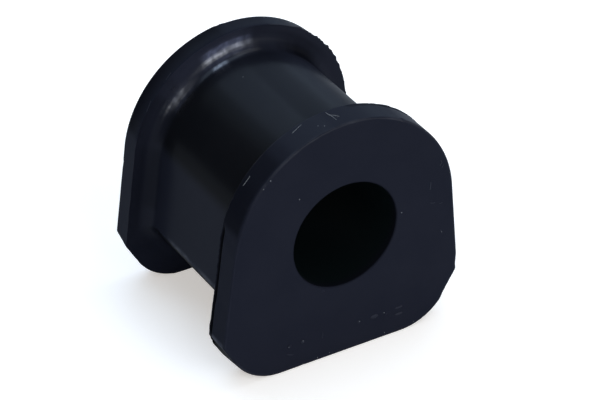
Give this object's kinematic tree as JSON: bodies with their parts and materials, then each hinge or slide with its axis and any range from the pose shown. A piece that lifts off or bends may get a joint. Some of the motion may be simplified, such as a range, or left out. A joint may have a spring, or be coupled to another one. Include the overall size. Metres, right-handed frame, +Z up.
{
  "type": "sway bar bushing",
  "caption": "Moulded rubber D-shaped bushing with a bore for the bar, a flange at each end and a groove between them for the strap bracket.",
  "frame": {"origin": "on the axis of the bore, midway between the two end faces", "axes": "+Y along the bore towards the thinner flange, +Z up towards the crown, +X to the right seen from the thicker flange"},
  "size_m": [0.0556, 0.0454, 0.0554],
  "materials": {
    "rubber": "moulded black rubber, soft satin"
  },
  "bodies": {
    "root": {"bushing": "rubber"}
  },
  "joints": []
}
